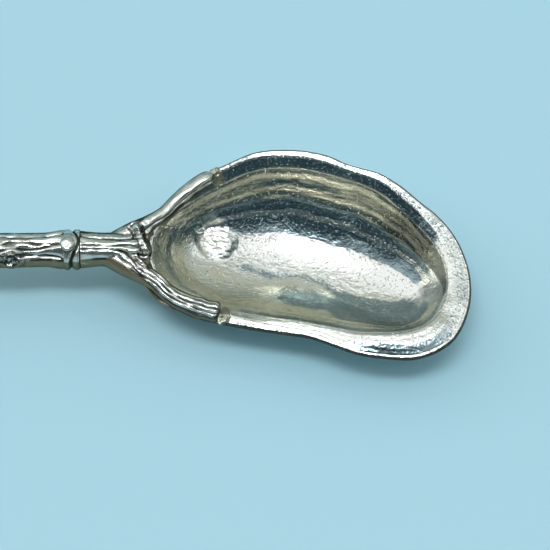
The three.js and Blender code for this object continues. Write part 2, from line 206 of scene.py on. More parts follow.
photo = {
    "pixels": 550,
    "pixelsPerMm": 6.35,
    "elevation": 68,
    "distance": 450,
    "aimPixel": (306.5, 254),  # where the point at the middle of the well's mouth shows
    "aimHeight": 9.5,
}


def placeCamera():
    tilt = math.radians(photo["elevation"])
    forward = Vector((0, math.cos(tilt), -math.sin(tilt)))
    right = Vector((1, 0, 0))
    across, down = ((pixel - photo["pixels"] / 2) / photo["pixelsPerMm"] for pixel in photo["aimPixel"])
    look = Vector((0, 0, photo["aimHeight"])) - across * right + down * right.cross(forward)
    data = bpy.data.cameras.new("photoCamera")
    data.sensor_width = 36
    data.sensor_fit = "HORIZONTAL"
    data.lens = photo["pixelsPerMm"] * photo["distance"] / photo["pixels"] * data.sensor_width
    data.clip_start = 0.01
    camera = addObject("photoCamera", data)
    camera.location = (look - forward * photo["distance"]) * mm
    camera.rotation_euler = forward.to_track_quat("-Z", "Y").to_euler()
    bpy.context.scene.camera = camera


floorLook = {"size": 3.0, "colour": "#A8D2E1", "roughness": 0.6}


def layFloor():
    bm = bmesh.new()
    bmesh.ops.create_grid(bm, x_segments=1, y_segments=1, size=floorLook["size"] / 2)
    floor = addObject("tableTop", meshFrom(bm, "tableTop"))
    material = bpy.data.materials.new("tableTop paper, plain")
    material.use_nodes = True
    shader = material.node_tree.nodes["Principled BSDF"]
    shader.inputs["Base Color"].default_value = linear(floorLook["colour"])
    shader.inputs["Roughness"].default_value = floorLook["roughness"]
    shader.inputs["Specular IOR Level"].default_value = 0.2
    floor.data.materials.append(material)


# The studio is a world: angles are degrees from straight overhead, minus towards the viewer's side
studio = {
    "lightAcross": (-18, 25),
    "lightAlong": (-80, 54),
    "lightSoftEdge": 6,
    "lightSpread": 0.5,      # the light's far edge runs out to the far side towards the handle, per degree
    "lightColour": "#FCFEFF",
    "lightStrength": 1.2,
    "lampAt": (-3, -3),      # the bulb behind the strip's cloth, across and along
    "lampRadius": 4.5,
    "lampLength": 3.4,       # how many times longer it is along the spoon
    "lampStrength": 19.5,
    "bands": [
        (-90, "#CBCFC3"), (-74, "#B4B9AD"), (-60, "#5A6B70"), (-30, "#384A53"), (-12, "#54666C"),
        (22, "#8A9A9C"), (40, "#CBCFC2"), (62, "#B4BBB0"), (76, "#75827F"), (90, "#6B7B80"),
    ],
    "sideShade": 0.85,       # the room to the left and right, beside that in front and behind
}


def lightStudio():
    world = bpy.data.worlds.new("studio")
    bpy.context.scene.world = world
    world.use_nodes = True
    tree = world.node_tree
    tree.nodes.clear()
    way = addNode(tree, "TexCoord", {}, "Generated")

    def angle(axis):
        part, up = (addNode(tree, "SeparateXYZ", {0: way}, name) for name in (axis, "Z"))
        turn = addNode(tree, "Math", {"operation": "ARCTAN2", 0: part, 1: up})
        return addNode(tree, "Math", {"operation": "DEGREES", 0: turn})

    across, along = angle("Y"), angle("X")
    soft = studio["lightSoftEdge"]
    low, high = studio["lightAcross"]
    left, right = studio["lightAlong"]
    west = addNode(tree, "Math", {"operation": "MINIMUM", 0: along, 1: 0.0})
    spread = studio["lightSpread"]
    skewed = addNode(tree, "Math", {"operation": "MULTIPLY_ADD", 0: west, 1: spread, 2: across})
    lit = 1.0
    for edge in ((across, low - soft, low + soft), (skewed, high + soft, high - soft),
                 (along, left - 2 * soft, left + 2 * soft), (along, right + 2 * soft, right - 2 * soft)):
        inside = addNode(tree, "MapRange", graded(*edge))
        lit = addNode(tree, "Math", {"operation": "MULTIPLY", 0: lit, 1: inside})
    turned = addNode(tree, "Math", {"operation": "ABSOLUTE", 0: along})
    roomLevel = addNode(tree, "MapRange", graded(turned, 50, 80, 1.0, studio["sideShade"]))
    place = addNode(tree, "MapRange", {"Value": across, "From Min": -90, "From Max": 90})
    room = addNode(tree, "ValToRGB", {0: place})
    ramp = room.node.color_ramp
    while len(ramp.elements) < len(studio["bands"]):
        ramp.elements.new(0.5)
    for element, (turn, colour) in zip(ramp.elements, studio["bands"]):
        element.position = (turn + 90) / 180
        element.color = linear(colour)
    dark = addNode(tree, "Background", {"Color": room, "Strength": roomLevel})
    tiltAcross, tiltAlong = (math.radians(v) for v in studio["lampAt"])
    squeeze = (1 / studio["lampLength"], 1, 1)
    lampWay = Vector((math.tan(tiltAlong) * squeeze[0], math.tan(tiltAcross), 1)).normalized()
    squeezed = addNode(tree, "VectorMath", {"operation": "MULTIPLY", 0: way, 1: squeeze})
    unit = addNode(tree, "VectorMath", {"operation": "NORMALIZE", 0: squeezed})
    facing = addNode(tree, "VectorMath", {"operation": "DOT_PRODUCT", 0: unit, 1: lampWay}, "Value")
    rim, core = (math.cos(math.radians(studio["lampRadius"] * k)) for k in (1.25, 0.75))
    strengths = studio["lightStrength"], studio["lampStrength"]
    glow = addNode(tree, "MapRange", graded(facing, rim, core, *strengths))
    bright = addNode(tree, "Background", {"Color": linear(studio["lightColour"]), "Strength": glow})
    addNode(tree, "OutputWorld", {"Surface": addNode(tree, "MixShader", {0: lit, 1: dark, 2: bright})})
    bpy.context.scene.view_settings.view_transform = "Standard"


placeCamera()
layFloor()
lightStudio()
report("camera, floor and light are set")


# Materials

silverColours = {
    "silver": "#DEE1DC",        # polished silver
    "wornSilver": "#C6CAC4",
    "strawTarnish": "#D9D7C4",  # the first, yellow tarnish
    # olive: tarnish on the solder, and olive tarnish with painted dark reflection at the bowl's tip and far
    # wall
    "oliveTarnishAndReflection": "#7E8279",
    # brown: the cradle's tone, and tarnish with painted shade on the bark's underside
    "brownTarnishAndShade": "#7F7862",
    # slate: blue tarnish, and painted reflection of the dark room
    "slateTarnishAndReflection": "#768F97",  # the later, blue tarnish
    # black: oxide in grooves and pits, dark lines, and painted shade
    "blackTarnishAndShade": "#262D2A",
    "solder": "#A0A28E",
}


def newMaterial(name):
    material = bpy.data.materials.new(name)
    material.use_nodes = True
    shader = material.node_tree.nodes["Principled BSDF"]
    shader.inputs["Metallic"].default_value = 1.0
    return material, material.node_tree, shader


def grain(tree, featureMm, detail=3.0, vector=None, roughness=0.55):
    # even noise with features of that size in millimetres, or as the vector is scaled
    scale = 1 / (featureMm * mm) if vector is None else 1.0
    vector = vector or addNode(tree, "TexCoord", {}, "Object")
    settings = {"Vector": vector, "Scale": scale, "Detail": detail, "Roughness": roughness}
    return addNode(tree, "TexNoise", settings)


def sums(tree, *terms):
    # each term is a socket or the name of a painted layer, and its weight
    total = 0.0
    for source, weight in terms:
        if isinstance(source, str):
            source = addNode(tree, "Attribute", {"attribute_name": source}, "Fac")
        total = addNode(tree, "Math", {"operation": "MULTIPLY_ADD", 0: source, 1: weight, 2: total})
    return total


def lay(tree, before, after, amount, low, high, most=1.0, least=0.0):
    # a colour over another, the least of it where the amount is low and the most where it is high
    if isinstance(before, str):
        before = linear(silverColours[before])
    share = addNode(tree, "MapRange", graded(amount, low, high, least, most))
    colours = {"data_type": "RGBA", "Factor": share, 6: before, 7: linear(silverColours[after])}
    return addNode(tree, "Mix", colours, 2)


def drive(tree, shader, name, *steps):
    tree.links.new(addNode(tree, "MapRange", graded(*steps)), shader.inputs[name])


def bumped(tree, shader, *layers):
    # each layer is a height socket and its height in millimetres
    normal = {}
    for height, depthMm in layers:
        settings = {"Height": height, "Strength": 1.0, "Distance": depthMm * mm}
        normal = {"Normal": addNode(tree, "Bump", settings | normal)}
    tree.links.new(normal["Normal"], shader.inputs["Normal"])


# Cast silver, hand finished: bright where it is rubbed, with straw tarnish; slate and olive tones that are
# partly tarnish and partly painted reflection of the dark room; dark lines and painted shade at the rim; fine
# pits from the casting sand and small bright specks where the tarnish has lifted
def castSilver():
    material, tree, shader = newMaterial("cast silver, hand finished")
    place = addNode(tree, "Attribute", {"attribute_name": "shellPlace"}, "Vector")
    streaks = grain(tree, 1, 4.0, addNode(tree, "Mapping", {"Vector": place, "Scale": (62, 9, 9)}), 0.6)
    finePits = grain(tree, 0.36, 2.0)
    patches = grain(tree, 2.4, 4.0)
    straw = sums(tree, ("straw", 1.0), (streaks, 0.4), (patches, 0.6))
    slate = sums(tree, ("slate", 1.0), (streaks, 0.6), (finePits, 0.6), (patches, 0.5))
    olive = sums(tree, ("olive", 1.0), (streaks, 0.3), (patches, 0.5))
    dark = sums(tree, ("darkLinesAndShade", 1.0), (finePits, 0.3))
    colour = lay(tree, "silver", "strawTarnish", straw, 0.72, 1.3)
    colour = lay(tree, colour, "slateTarnishAndReflection", slate, 1.1, 1.5, 0.85)
    colour = lay(tree, colour, "oliveTarnishAndReflection", olive, 0.75, 1.3, 0.9)
    # dark lines and painted shade turn black here
    colour = lay(tree, colour, "blackTarnishAndShade", dark, 0.35, 1.0, 0.95)
    tree.links.new(colour, shader.inputs["Base Color"])
    rough = sums(tree, (finePits, 0.1), (patches, 0.08), ("slate", 0.08))
    drive(tree, shader, "Roughness", rough, 0.0, 0.3, 0.06, 0.22)
    specks = addNode(tree, "MapRange", graded(finePits, 0.6, 0.74))
    bumped(tree, shader, (finePits, 0.05), (specks, 0.065), (streaks, 0.012))
    return material


# Oxidised silver: cast bark, dipped dark and rubbed bright on the ridges. Its underside is painted brown and
# made
# less metallic: tarnish, and painted shade
def barkSilver():
    material, tree, shader = newMaterial("oxidised silver bark, rubbed bright")
    place = addNode(tree, "Attribute", {"attribute_name": "barkPlace"}, "Vector")
    strands = grain(tree, 1, 3.0, addNode(tree, "Mapping", {"Vector": place, "Scale": (0.55, 3.2, 1)}), 0.6)
    pits = grain(tree, 0.3, 2.0)
    # the groove layer: dark oxide in grooves and pits, and painted shade
    dark = sums(tree, ("groove", 1.0), (strands, 0.45), (pits, 0.2))
    olive = sums(tree, ("under", 1.0), (pits, 0.3))
    colour = lay(tree, "silver", "wornSilver", strands, 0.35, 0.75)
    # the underside turns brown: tarnish and painted shade
    colour = lay(tree, colour, "brownTarnishAndShade", olive, 0.3, 0.9, 0.97)
    colour = lay(tree, colour, "blackTarnishAndShade", dark, 0.5, 1.1, 0.95)
    tree.links.new(colour, shader.inputs["Base Color"])
    tree.links.new(colour, shader.inputs["Specular Tint"])
    drive(tree, shader, "Roughness", dark, 0.2, 1.2, 0.12, 0.4)
    # painted shade: the underside is less metallic, so it shows less of the bright floor
    drive(tree, shader, "Metallic", olive, 0.3, 0.9, 1.0, 0.6)
    bumped(tree, shader, (strands, 0.05), (pits, 0.025))
    return material


# Toned silver: the smooth back of the fork, never rubbed, so that it stays olive and brown
def tonedSilver():
    material, tree, shader = newMaterial("toned silver, smooth cast back")
    clouds = grain(tree, 3.2, 4.0)
    colour = lay(tree, "strawTarnish", "brownTarnishAndShade", clouds, 0.3, 0.6, 1.0, 0.55)
    tree.links.new(colour, shader.inputs["Base Color"])
    tree.links.new(colour, shader.inputs["Specular Tint"])
    shader.inputs["Metallic"].default_value = 0.6
    drive(tree, shader, "Roughness", clouds, 0.3, 0.7, 0.2, 0.34)
    bumped(tree, shader, (clouds, 0.08), (grain(tree, 0.4, 2.0), 0.02))
    return material


# Hard solder: duller and yellower than the silver, with a grainy skin where it flowed
def hardSolder():
    material, tree, shader = newMaterial("hard silver solder, flowed")
    grains = grain(tree, 0.45, 3.0)
    tree.links.new(lay(tree, "solder", "oliveTarnishAndReflection", grains, 0.4, 0.7), shader.inputs["Base Color"])
    shader.inputs["Roughness"].default_value = 0.36
    bumped(tree, shader, (grains, 0.06))
    return material


# Drawn silver wire: the pin, straight from the draw plate, with fine lines along it
def drawnSilver():
    material, tree, shader = newMaterial("drawn silver pin")
    where = addNode(tree, "TexCoord", {}, "Object")
    drawn = grain(tree, 1, 2.0, addNode(tree, "Mapping", {"Vector": where, "Scale": (180, 4200, 4200)}))
    tree.links.new(lay(tree, "wornSilver", "silver", drawn, 0.0, 1.0), shader.inputs["Base Color"])
    shader.inputs["Roughness"].default_value = 0.32
    bumped(tree, shader, (drawn, 0.01))
    return material


finishes = {
    "bowl_silver": castSilver(),
    "bark_silver": barkSilver(),
    "cradle_silver": tonedSilver(),
    "solder": hardSolder(),
    "spigot_silver": drawnSilver(),
}
report("materials are made")


# Finished pieces: from a bmesh in millimetres to an object in the frame, in place of its CAD node

def finishPiece(bm, name, slot, *nodes):
    bmesh.ops.recalc_face_normals(bm, faces=bm.faces)
    bmesh.ops.scale(bm, vec=(mm, mm, mm), verts=bm.verts)
    piece = addObject(name, meshFrom(bm, name))
    piece.data.materials.append(finishes[slot])
    piece.data.shade_smooth()
    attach(piece, "root")
    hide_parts(*nodes)
    report(f"{name} has {len(piece.data.polygons)} faces")


def spun(section, steps):
    # a section in the XZ plane, given as [radius, height] pairs, turned about Z; closed where it meets Z
    bm = bmesh.new()
    verts = [bm.verts.new((radius, 0, height)) for radius, height in section]
    edges = [bm.edges.new(pair) for pair in zip(verts, verts[1:])]
    bmesh.ops.spin(bm, geom=verts + edges, cent=(0, 0, 0), axis=(0, 0, 1), angle=tau, steps=steps,
                   use_merge=True)
    bmesh.ops.remove_doubles(bm, verts=bm.verts, dist=1e-5)
    return bm


def roundZ(v):
    # where a vertex of a spun piece lies: height, radius and angle
    return v.co.z, math.hypot(v.co.x, v.co.y), math.atan2(v.co.y, v.co.x)


def remeshed(bm, voxelMm, smoothings):
    # one skin round everything in the bmesh, in steps of the voxel
    bmesh.ops.recalc_face_normals(bm, faces=bm.faces)
    rough = addObject("rough", meshFrom(bm, "rough"))
    modifier = rough.modifiers.new("skin", "REMESH")
    modifier.mode = "VOXEL"
    modifier.voxel_size = voxelMm
    skin = bpy.data.meshes.new_from_object(rough.evaluated_get(bpy.context.evaluated_depsgraph_get()))
    bpy.data.objects.remove(rough)
    fused = bmesh.new()
    fused.from_mesh(skin)
    bpy.data.meshes.remove(skin)
    axes = {"use_axis_x": True, "use_axis_y": True, "use_axis_z": True}
    for _ in range(smoothings):
        bmesh.ops.smooth_vert(fused, verts=fused.verts, factor=0.5, **axes)
    fused.normal_update()
    return fused


# Bowl

bowl = {
    "shoulderHeight": 9.5,
    "floorInside": 1.1,
    "wellFullness": 2.3,
    "valleyRise": 2.2,
    "wall": 1.3,
    "lipWidth": 3.9,
    "lipSwell": 1.4,
    "lipPinch": 0.8,
    "heelPinch": 2.6,
    "lipRise": 1.0,
    "lipThickness": 1.1,
    "edgeRound": 0.35,
    "rimWave": 0.2,
    # along the rim: its share; the degrees down to the well in the lip's outer, middle and inner part; and
    # the shares of the lip, from the well, where the outer and the inner part meet the middle
    "lipSlopes": [
        (0.0, 2, 14, 14, 0.3, 0.1), (0.08, 17, 40, 42, 0.66, 0.1), (0.16, 17, 40, 42, 0.66, 0.1),
        (0.21, 17, 38, 38, 0.56, 0.1), (0.33, 17, 38, 40, 0.52, 0.1), (0.39, 13, 40, 42, 0.5, 0.1),
        (0.43, 5, 40, 42, 0.4, 0.1), (0.48, -2, 30, 40, 0.16, 0.08), (0.55, -3, 0, 20, 0.3, 0.1),
        (0.60, -18, -4, 36, 0.5, 0.1), (0.67, -22, -4, 44, 0.48, 0.12), (0.72, -6, -5, 46, 0.5, 0.16),
        (0.79, -5, -5, 46, 0.5, 0.22), (0.84, -5, 33, 44, 0.42, 0.1), (0.90, -5, 25, 30, 0.42, 0.1),
        (1.0, 2, 14, 14, 0.3, 0.1),
    ],
    # along the rim: its share, how much narrower the lip is than the solid's, and how dull its outer part is
    "lipTrim": [
        (0.0, 0.0, 0.3), (0.08, 1.0, 0.4), (0.15, 1.35, 0.4), (0.21, 0.65, 0.42), (0.26, 0.55, 0.42),
        (0.33, 0.95, 0.52), (0.39, 0.5, 0.46), (0.46, 0.5, 0.34), (0.55, 0.3, 0.34), (0.58, 0.4, 0.5),
        (0.61, 0.6, 0.8), (0.68, 0.85, 0.8), (0.72, 0.95, 0.2), (0.79, 1.25, 0.2), (0.87, 1.15, 0.2),
        (0.94, 0.5, 0.3), (1.0, 0.0, 0.3),
    ],
    "nearLipDrop": 0.3,
    "beadHeight": 0.07,
    "foldHeight": 0.055,
    "lineHeight": 0.022,
    "padAt": (-14.4, 4.6),
    "padRadius": 3.3,
    "padHeight": 0.05,
    "padTilt": (-0.07, 0.08),   # rise per mm along and across
    # small ridges and creases inside, seen from above: points in mm, height and half width
    "ridges": [
        ([(-7.0, 12.9), (-3.4, 13.4), (-0.3, 12.8), (2.9, 12.0), (4.1, 11.6)], -0.07, 0.15),
        ([(-6.9, 12.1), (-2.6, 12.2), (0.5, 11.9), (3.3, 11.1)], -0.06, 0.13),
        ([(6.2, 6.6), (8.0, 5.2), (10.3, 4.4)], 0.05, 0.16),
        ([(-21.2, 3.4), (-21.4, 1.4), (-21.0, -0.6)], 0.16, 0.2),
        ([(-11.0, 5.2), (-11.3, 3.6), (-11.0, 2.2)], -0.09, 0.2),
        ([(17.4, -6.5), (19.0, -8.3), (19.9, -6.6), (21.0, -5.9)], 0.08, 0.2),
        ([(-17.5, -6.5), (-16.3, -7.8), (-14.2, -8.7)], 0.1, 0.2),
    ],
    "columns": 560,
    "rows": {"well": 84, "lip": 40, "edge": 6, "underLip": 12, "underWell": 26},
}

# Rim from above, from the heel round the far side to the tip and back, in shares of the bowl's box
rimOutline = [
    (-0.500, 0.033), (-0.486, 0.130), (-0.434, 0.226), (-0.350, 0.340), (-0.249, 0.423), (-0.160, 0.486),
    (-0.070, 0.501), (0.010, 0.491), (0.075, 0.464), (0.125, 0.426), (0.172, 0.405), (0.225, 0.384),
    (0.290, 0.322), (0.350, 0.240), (0.399, 0.178), (0.450, 0.086), (0.485, -0.025), (0.499, -0.123),
    (0.498, -0.218), (0.480, -0.318), (0.445, -0.408), (0.390, -0.467), (0.325, -0.499), (0.245, -0.499),
    (0.155, -0.481), (0.080, -0.441), (0.011, -0.403), (-0.080, -0.381), (-0.170, -0.360),
    (-0.265, -0.332), (-0.345, -0.300), (-0.420, -0.240), (-0.475, -0.155), (-0.500, -0.060),
]
# The valley, the lowest line of the well, in the same shares
valleyLine = [(-0.243, 0.050), (-0.039, 0.025), (0.155, -0.050), (0.282, -0.128)]
shellRidges = [Crease(*ridge) for ridge in bowl["ridges"]]
bowlLow, bowlHigh = boxInMm("bowl")
bowlSize = bowlHigh - bowlLow
rimRoute = Route([Vector((x * bowlSize.x, y * bowlSize.y, 0)) for x, y in rimOutline], closed=True)
valleyRoute = Route([Vector((x * bowlSize.x, y * bowlSize.y, 0)) for x, y in valleyLine])
valleyPoints = [valleyRoute.at(i / 96).to_2d() for i in range(97)]
valleyTree = kdtree.KDTree(len(valleyPoints))
for number, point in enumerate(valleyPoints):
    valleyTree.insert(point.to_3d(), number)
valleyTree.balance()


def rimAt(u):
    share = u % 1
    along = rimRoute.heading(share)
    width = bowl["lipWidth"] + bowl["lipSwell"] * hump(share, 0.62, 0.14)
    width -= bowl["lipPinch"] * hump(share, 0.28, 0.24) + bowl["heelPinch"] * hump(share, 0, 0.13)
    width = max(1.1, width - follow(bowl["lipTrim"], share))
    lift = bowl["rimWave"] * (math.sin(tau * (3 * share + 0.1)) + 0.5 * math.sin(tau * (7 * share + 0.3)))
    inward = Vector((along.y, -along.x, 0))
    return {"edge": rimRoute.at(share), "inward": inward, "width": width, "lift": lift}


def rimColumns():
    count = bowl["columns"]
    columns = [rimAt(i / count) for i in range(count)]
    spread = [round(share * count) for share in (-0.03, -0.015, 0, 0.015, 0.03)]
    for i, column in enumerate(columns):
        share = i / count
        near = [columns[(i + step) % count] for step in spread]
        column["share"] = share
        column["shoulder"] = sum((c["edge"] + c["inward"] * c["width"] for c in near), Vector()) / len(near)
        column["far"] = smooth(0.15, 0.75, -column["inward"].y)
        column["close"] = smooth(0.15, 0.75, column["inward"].y)
        column["slopes"] = [follow(bowl["lipSlopes"], share, k) for k in range(1, 6)]
        column["dull"] = follow(bowl["lipTrim"], share, 2)
        column["lip"] = lipLine(column)
        leans = (columns[(i + k) % count]["inward"] * (41 - abs(k)) for k in range(-40, 41))
        column["lean"] = sum(leans, Vector()).normalized()
    return columns


def lipLine(column):
    # heights of the lip from the shoulder (share 0) out to the edge (share 1)
    rows = bowl["rows"]["lip"]
    outer, middle, inner, turnOut, turnIn = column["slopes"]
    top = bowl["shoulderHeight"] + bowl["lipRise"] + column["lift"]
    heights = [top - bowl["nearLipDrop"] * column["close"]]
    for i in range(rows, 0, -1):
        share = (i - 0.5) / rows
        degrees = mix(inner, middle, smooth(turnIn - 0.08, turnIn + 0.08, share))
        degrees = mix(degrees, outer, smooth(turnOut - 0.1, turnOut + 0.1, share))
        heights.append(heights[-1] - math.tan(math.radians(degrees)) * column["width"] / rows)
    return heights[::-1]


def lipSpot(column, out):
    # a point on the top of the lip, or straight on beyond its sides
    rows = bowl["rows"]["lip"]
    spot = min(1.0, max(0.0, out)) * rows
    row = min(rows - 1, int(spot))
    point = column["shoulder"].lerp(column["edge"], out)
    point.z = mix(column["lip"][row], column["lip"][row + 1], spot - row)
    return point


def valleyShare(point, toShoulder):
    # 0 on the valley and 1 at the shoulder; the place along the valley, -1 to 1 and a little beyond its ends;
    # and the way up from the valley, 1 to the far side and -1 to the near side
    flat = point.to_2d()
    last = len(valleyPoints) - 1
    nearest = valleyTree.find(flat.to_3d())[1]
    away, place, side = 1e9, 0.0, 0.0
    for i in range(max(0, nearest - 1), min(last, nearest + 1)):
        a, b = valleyPoints[i], valleyPoints[i + 1]
        along = (flat - a).dot(b - a) / (b - a).length_squared
        t = min(1.0, max(0.0, along))
        climb = flat - a.lerp(b, t)
        if climb.length < away:
            away = climb.length
            side = climb.y / max(0.3, away)
            beyond = (i == 0 and along < 0) or (i == last - 1 and along > 1)
            place = 2 * (i + (along if beyond else t)) / last - 1
    if abs(place) > 1:
        place = math.copysign(1 + 0.15 * (1 - math.exp((1 - abs(place)) / 0.15)), place)
    return away / (away + max(0.0, toShoulder)), place, side


def bowlSection(column):
    # points of the section over one column of the rim, from the well's middle over the edge and back below
    rows, wall, thick = bowl["rows"], bowl["wall"], bowl["lipThickness"]
    lip, shoulder, lean = column["lip"], column["shoulder"], column["lean"]

    def wellPoint(across, move=Vector((0, 0, 0))):
        point = shoulder * across + move
        share, place, _ = valleyShare(point, (across - 1) * shoulder.dot(lean) + move.dot(lean))
        low = bowl["floorInside"] + bowl["valleyRise"] * place ** 2
        return Vector((point.x, point.y, low + (lip[0] - low) * share ** bowl["wellFullness"]))

    def wallPoint(across):
        # the point below, at right angles through the wall
        step = 0.1 * wall
        point = wellPoint(across)
        moves = [Vector((step, 0, 0)), Vector((0, step, 0))]
        growths = [(wellPoint(across, move).z - point.z) / step for move in moves]
        point += wall * Vector((*growths, -1)).normalized()
        point.z = max(0.0, point.z)
        return point

    section = [wellPoint((i / rows["well"]) ** 0.9) for i in range(rows["well"])]
    lastShare = 1 - bowl["edgeRound"] / column["width"]
    for i in range(rows["lip"] + 1):
        share = lastShare * i / rows["lip"]
        section.append(lipSpot(column, share))
        section[-1].z += bowl["beadHeight"] * (bell(share - 0.95, 0.045) - 0.6 * bell(share - 0.86, 0.03))
    top = section[-1]
    for i in range(1, rows["edge"]):
        turn = math.pi * i / rows["edge"]
        out = -column["inward"] * bowl["edgeRound"] * math.sin(turn)
        section.append(top + out - Vector((0, 0, thick * (1 - math.cos(turn)) / 2)))
    for i in range(rows["underLip"]):
        share = lastShare * (1 - 0.8 * i / (rows["underLip"] - 1))
        below = shoulder.lerp(column["edge"], share)
        below.z = lip[round(share * rows["lip"])] - thick
        section.append(below)
    return section + [wallPoint(0.96 * (1 - i / rows["underWell"])) for i in range(rows["underWell"] + 1)]


def relax(section, first, last, times):
    for _ in range(times):
        before = [p.copy() for p in section[first - 1:last + 2]]
        for i in range(1, len(before) - 1):
            section[first + i - 1] = before[i] * 0.5 + (before[i - 1] + before[i + 1]) * 0.25


def shellRelief(point, growth, across, side):
    # height of the growth folds, lines, ridges and grain, in millimetres
    warped = growth + mottled(point, (0.03, 4.5, 2), (0.006, 1, 5))
    strength = smooth(0.5, 0.75, growth) * (1 - smooth(0.985, 1.05, across))
    strength *= 0.3 + 0.7 * smooth(0.15, 0.75, side)
    folds = math.sin(tau * warped * 9 + 0.8) * 0.6 + math.sin(tau * warped * 14.3) * 0.4
    lines = math.sin(tau * warped * 33 + mottled(point, (2, 5, 9)))
    height = strength * (bowl["foldHeight"] * folds + bowl["lineHeight"] * lines)
    height += mottled(point, (0.032, 2.6, 11), (0.028, 1.1, 3), (0.024, 0.5, 7))
    nearTip = smooth(0.1, 0.5, -side) * smooth(0, 4, point.x) * (1 - smooth(0.75, 0.85, growth))
    height += 0.06 * nearTip * smooth(0.3, 0.55, mottled(point, (1, 0.55, 61)))
    flat = point.to_2d()
    return height + sum(ridge.height * ridge.at(flat)[0] for ridge in shellRidges)


def padShape(point, middleHeight):
    # height of the rough pad, a blister left by the casting, and how much of it there is at a point
    beside = point.to_2d() - Vector(bowl["padAt"])
    away = beside.length / bowl["padRadius"] * (1 + mottled(point, (0.12, 1.3, 19)))
    rough = mottled(point, (0.14, 0.55, 21), (0.08, 0.28, 23))
    return middleHeight + beside.dot(Vector(bowl["padTilt"])) + rough, 1 - smooth(0.6, 1.1, away)


def lipTones(point, out, column):
    # how much straw tarnish, slate tone (blue tarnish and painted reflection), olive tone, and dark lines and
    # painted shade lie at a point of the lip
    farBand = band(0.05, 0.1, 0.41, 0.47, column["share"])
    turnAt = column["slopes"][3]
    start = max(turnAt, 0.38)
    wave = mottled(point, (0.03, 4, 31), (0.015, 1.2, 33))
    dull = smooth(start, start + 0.1, out + wave) * (1 - smooth(0.86, 0.93, out))
    # slate tone on the far lip's inner slope: painted reflection of the dark room; the dull outer part is
    # mottled with it
    slate = 0.7 * farBand * (1 - smooth(turnAt - 0.06, turnAt + 0.06, out + wave)) + column["dull"] * dull
    # painted shade: a dark line along the lip and a dark outer edge
    darkLinesAndShade = 0.7 * bell(out - 0.915, 0.018) + 0.7 * smooth(0.955, 1.0, out)
    return 0.15 * (1 - farBand), slate, 0.0, darkLinesAndShade + 0.35 * dull * smooth(0.6, 0.75, column["dull"])


def wellTones(point, growth, side, share):
    # the same in the well
    far, close, x = smooth(0.15, 0.75, side), smooth(0.15, 0.75, -side), point.x
    a = growth + mottled(point, (0.03, 4, 31), (0.015, 1.2, 33))
    heel = smooth(-12, -17, x)
    wallBand = smooth(0.71, 0.77, a)
    straw = far * wallBand + 0.75 * close * band(0.55, 0.65, 0.9, 0.96, a)
    straw += 0.4 * close * smooth(0.1, 0.2, a) * (1 - smooth(-3, 1, x)) + 0.75 * heel * smooth(0.5, 0.62, a)
    straw += 0.45 * far * bell(a - 0.59, 0.02)
    # slate bands on the far wall: painted reflection of the camera and the dark room, with blue tarnish
    slate = far * (smooth(0.61, 0.65, a) - wallBand) + far * (smooth(0.34, 0.42, a) - smooth(0.55, 0.58, a))
    slate += far * bell(a - 0.88, 0.018) * band(-9, -5, 3, 8, x)
    # on the near side, slate tone as painted reflection of the dark room: a strip below the bright band, an
    # oval, and patches towards the tip
    slate += 0.5 * close * bell(a - 0.09, 0.07) * band(-14, -10, 2, 7, x)
    slate += 1.1 * close * bell(a - 0.46, 0.16) * bell(x - 0.2, 5.0)
    slate += 0.65 * close * smooth(2, 6, x) * band(0.08, 0.16, 0.7, 0.8, a)
    slate += 0.6 * close * smooth(0.86, 0.92, a) * smooth(-12, -9, x) + 0.5 * heel * bell(a - 0.8, 0.08)
    # the olive wedge at the tip, olive tarnish with painted dark reflection, runs out to a point along the
    # shoulder
    start = mix(0.72, 0.95, smooth(0.44, 0.535, share))
    wedge = band(0.36, 0.43, 0.515, 0.535, share) * smooth(start - 0.04, start + 0.02, a)
    # thin dark growth lines on the far wall
    swing = math.sin(tau * 15 * (a + mottled(point, (0.015, 1.5, 35))) + mottled(point, (2, 6, 37)))
    lines = smooth(0.55, 0.95, swing) * smooth(-0.1, 0.35, mottled(point, (1, 2.8, 39)))
    # dark growth lines on the far wall, and a thin line of painted shade at the top of the near wall
    darkLinesAndShade = 0.6 * far * lines * band(0.52, 0.6, 0.93, 0.97, a) + 0.5 * close * bell(a - 0.985, 0.015)
    # the far wall's upper band also gets olive tone as painted dark reflection
    return min(1.0, straw), min(1.0, slate), wedge + 0.5 * far * wallBand, darkLinesAndShade


columns = rimColumns()


